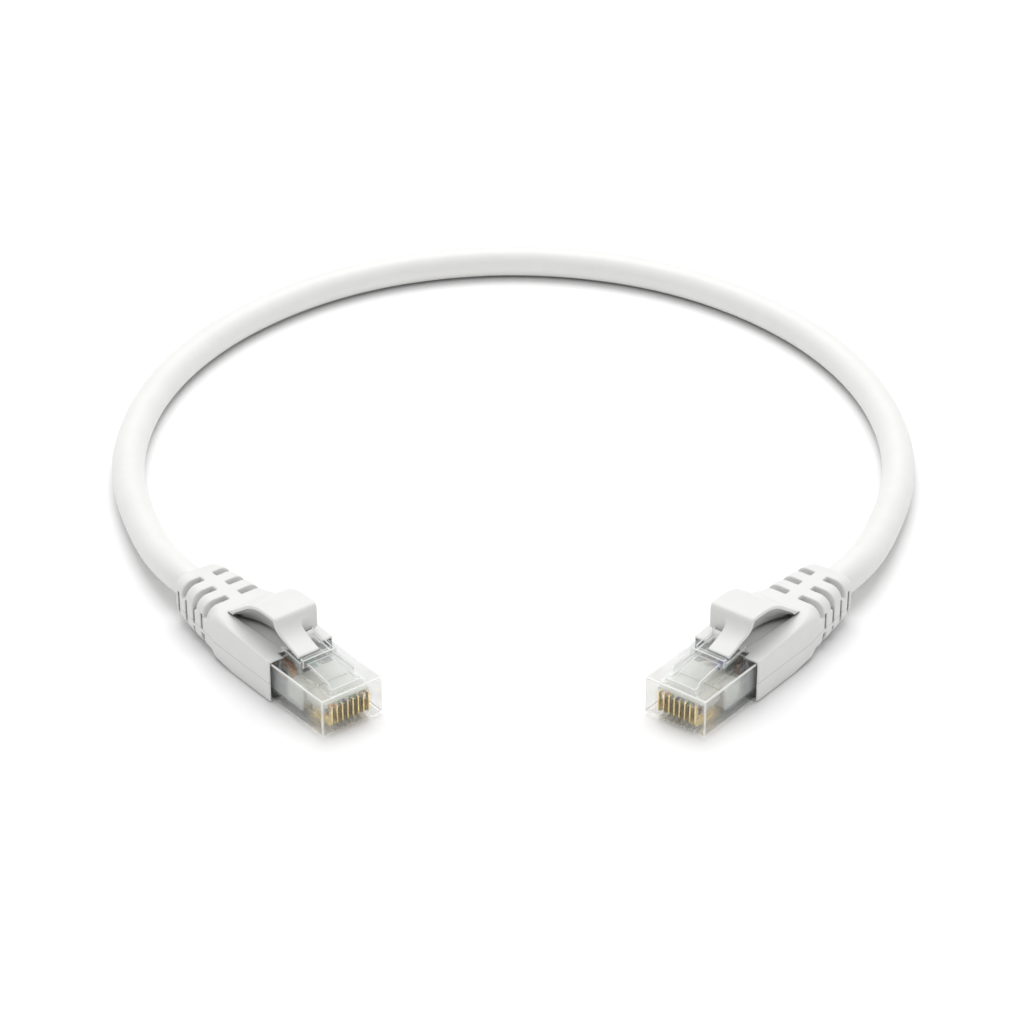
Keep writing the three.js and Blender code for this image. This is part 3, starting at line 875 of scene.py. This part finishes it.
def tube_sweep(name, outer, inner):
    """A hollow sweep, its two skins joined at the ends."""
    count, around = outer.shape[:2]
    shift = count * around
    faces = [list(q) for q in skin_rings(outer)]
    faces += [list(q + shift) for q in skin_rings(inner, flip=True)]
    last = (count - 1) * around
    for j in range(around):
        k = (j + 1) % around
        faces.append([k, j, j + shift, k + shift])
        faces.append([last + j, last + k, last + k + shift, last + j + shift])
    return mesh_object(name, np.concatenate([outer.reshape(-1, 3), inner.reshape(-1, 3)]), faces)


# Pin order; each wire's place in the bundle, in pair radii and half gaps.
WIRES = [
    ("wire_1_white_orange", (0.93, 0.46, 0.16), True, (PAIR_RADIUS, -PAIR_HALF_GAP)),
    ("wire_2_orange", (0.93, 0.42, 0.13), False, (PAIR_RADIUS, PAIR_HALF_GAP)),
    ("wire_3_white_green", (0.06, 0.38, 0.14), True, (PAIR_HALF_GAP, PAIR_RADIUS)),
    ("wire_4_blue", (0.03, 0.12, 0.48), False, (PAIR_HALF_GAP, -PAIR_RADIUS)),
    ("wire_5_white_blue", (0.05, 0.16, 0.52), True, (-PAIR_HALF_GAP, -PAIR_RADIUS)),
    ("wire_6_green", (0.04, 0.32, 0.11), False, (-PAIR_HALF_GAP, PAIR_RADIUS)),
    ("wire_7_white_brown", (0.36, 0.15, 0.06), True, (-PAIR_RADIUS, PAIR_HALF_GAP)),
    ("wire_8_brown", (0.24, 0.09, 0.04), False, (-PAIR_RADIUS, -PAIR_HALF_GAP)),
]


FAN_OUT = (11, 15.5)  # back from the nose: the row spreads between these
LEVEL_OUT = (10.5, 13.5)  # and comes to its height between these


def ease(value, low, high):
    t = np.clip((value - low) / (high - low), 0, 1)
    return t * t * (3 - 2 * t)


def half_turn(at, length):
    """How far round the pairs have turned: half round between the two plugs."""
    return math.pi * np.clip((at - TWIST_START) / (length - 2 * TWIST_START), 0, 1)


def wire_line(line, run, pin, place_in_bundle):
    """A wire's own centreline: the round bundle, then the flat row at each end."""
    across, up = place_in_bundle
    length = run[-1] / MM
    at = run / MM
    back = np.minimum(at, length - at)
    turn = half_turn(at, length)
    bundle_across = across * np.cos(turn) - up * np.sin(turn)
    bundle_up = across * np.sin(turn) + up * np.cos(turn)
    row_across = np.where(at < length / 2, -1, 1) * pin_x(pin)
    into_row = ease(back, *FAN_OUT)
    level = ease(back, *LEVEL_OUT)
    across_now = row_across + (bundle_across - row_across) * into_row
    row_up = CONDUCTOR_ROW - CORD_IN_PLUG
    up_now = row_up + (bundle_up - row_up) * level
    sideways, upright = upright_frames(line)
    return line + MM * (across_now[:, None] * sideways + up_now[:, None] * upright)


def add_wire(line, run, pin):
    name, colour, stripe, place_in_bundle = WIRES[pin]
    inside = (run > CONDUCTOR_START * MM) & (run < run[-1] - CONDUCTOR_START * MM)
    centre = wire_line(line, run, pin, place_in_bundle)[inside]
    sides = 12
    rings = rings_along(centre, circle(CONDUCTOR_RADIUS * MM, sides))
    obj = solid_sweep(name.replace("wire", "conductor"), rings)
    around = obj.data.attributes.new("around", "FLOAT", "POINT")
    lap = np.abs(np.linspace(0, 2, sides, endpoint=False) - 1)
    around.data.foreach_set("value", np.tile(lap, len(centre)).astype(np.float32))
    finish_piece(obj, [insulation(name, colour, stripe)], "cable", [name])
    return obj


def add_separator(line, run, material):
    """X-shaped filler between the pairs."""
    reach, half = 2.05, 0.11
    outline = []
    for quarter in range(4):
        angle = math.pi / 2 * quarter + math.pi / 4
        for u, v in ((half, half), (half, reach), (-half, reach)):
            outline.append((u * math.cos(angle) - v * math.sin(angle),
                            u * math.sin(angle) + v * math.cos(angle)))
    start = SEPARATOR_START * MM
    inside = (run > start) & (run < run[-1] - start)
    turn = half_turn(run / MM, run[-1] / MM)[inside][:, None]
    u, v = (np.array(outline) * MM).T
    sideways, upright = upright_frames(line[inside])
    rings = (line[inside][:, None]
             + (u * np.cos(turn) - v * np.sin(turn))[..., None] * sideways[:, None]
             + (u * np.sin(turn) + v * np.cos(turn))[..., None] * upright[:, None])
    obj = solid_sweep("pair_filler", rings)
    return finish_piece(obj, [material], "cable", ["pair_separator"])


def add_cord(vinyl, filler):
    line, run = cord_line()
    start = JACKET_START * MM
    inside = (run >= start) & (run <= run[-1] - start)
    path = line[inside]
    outer = rings_along(path, circle(CORD_RADIUS * MM, 40))
    inner = rings_along(path, circle(JACKET_BORE * MM, 40))
    jacket = tube_sweep("jacket", outer, inner)
    finish_piece(jacket, [vinyl], "cable", ["cord_jacket"])
    with_pieces = [add_wire(line, run, pin) for pin in range(PIN_COUNT)]
    with_pieces.append(add_separator(line, run, filler))


# --------------------------------------------------------------- stage and light

FLOOR_HALF = 6.0
WORLD_STRENGTH = 0.68
LIGHT_AT = (0.0, 0.5, 1.05)
LIGHT_TARGET = (0, 0.05, 0)
LIGHT_SIZE = 1.0
LIGHT_POWER = 8.6


def add_floor():
    size = FLOOR_HALF
    corners = [(-size, -size, 0), (size, -size, 0), (size, size, 0), (-size, size, 0)]
    floor = mesh_object("floor", corners, [(0, 1, 2, 3)])
    floor.data.materials.append(material_with("floor_paper", Base_Color=(0.93, 0.93, 0.93, 1), Roughness=0.9,
                                              Specular_IOR_Level=0.1))


def add_light(name, location, target, size, power):
    data = bpy.data.lights.new(name, "AREA")
    data.shape = "DISK"
    data.size = size
    data.energy = power
    light = bpy.data.objects.new(name, data)
    light.location = location
    light.rotation_euler = (Vector(location) - Vector(target)).to_track_quat("Z", "Y").to_euler()
    bpy.context.scene.collection.objects.link(light)


def add_lighting():
    world = bpy.data.worlds.new("studio")
    world.use_nodes = True
    background = world.node_tree.nodes["Background"]
    background.inputs["Color"].default_value = (1, 1, 1, 1)
    background.inputs["Strength"].default_value = WORLD_STRENGTH
    bpy.context.scene.world = world
    add_light("overhead", LIGHT_AT, LIGHT_TARGET, LIGHT_SIZE, LIGHT_POWER)
    bpy.context.scene.view_settings.view_transform = "Standard"


# -------------------------------------------------------------------- assembly

def soften_blade(obj, material):
    """Welds and slightly rounds a stamped contact, which keeps its CAD mesh."""
    weld = obj.modifiers.new("weld", "WELD")
    weld.merge_threshold = 0.002 * MM
    bevel = obj.modifiers.new("bevel", "BEVEL")
    bevel.width = 0.04 * MM
    bevel.segments = 2
    bevel.limit_method = "ANGLE"
    obj.data.materials.clear()
    obj.data.materials.append(material)


def add_ends(vinyl, hood_vinyl, clear, edge, veils, milky, gold):
    shapes = {"boot": boot_mesh(), "cover": cover_mesh(), "housing": housing_mesh(), "latch": latch_mesh()}
    for label, side in SIDES.items():
        # the bevelled faces of the plug body and the latch carry the painted edge highlight
        body = finish_piece(place(f"{label}_plug_body", shapes["housing"], side), [clear, edge, *veils],
                            "cable", [f"{label}_plug_housing"])
        finish_piece(place(f"{label}_latch_arm", shapes["latch"], side, handed=True), [veils[0], edge],
                     f"{label}_latch_arm", [f"{label}_latch"])
        finish_piece(place(f"{label}_strain_relief_boot", shapes["boot"], side), [vinyl],
                     "cable", [f"{label}_boot"], smooth_angle=80)
        finish_piece(place(f"{label}_latch_hood", shapes["cover"], side, handed=True), [hood_vinyl],
                     f"{label}_cover_flap", [f"{label}_latch_cover"], smooth_angle=80)
        normals = body.modifiers.new("normals", "WEIGHTED_NORMAL")
        normals.keep_sharp = True
        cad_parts[f"{label}_wire_guide"].data.materials.clear()
        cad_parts[f"{label}_wire_guide"].data.materials.append(milky)
        for pin in range(PIN_COUNT):
            soften_blade(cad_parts[f"{label}_contact_{pin + 1}"], gold)


add_camera()
add_cord(moulded_vinyl("jacket_vinyl", JACKET_COLOUR, 0.42, 3000, 0.000012),
         moulded_vinyl("filler", FILLER_COLOUR, 0.5, 5000, 0.00001))
add_ends(moulded_vinyl("boot_vinyl", BOOT_COLOUR, 0.5, 6000, 0.000016, parting=PARTING_HEIGHT * MM),
         # the hood's vinyl: the same colour with painted shade that reaches further, which darkens its side
         # pockets
         moulded_vinyl("hood_vinyl", BOOT_COLOUR, 0.5, 6000, 0.000016, reach=0.0055),
         clear_plastic("clear_plastic", CLEAR_COLOUR, 0.01, 0.3), clear_edge(),
         [frosted_plastic("thin_frost", 0.16), frosted_plastic("side_frost", 0.45)],
         milky_plastic(), gold_plate())
add_floor()
add_lighting()
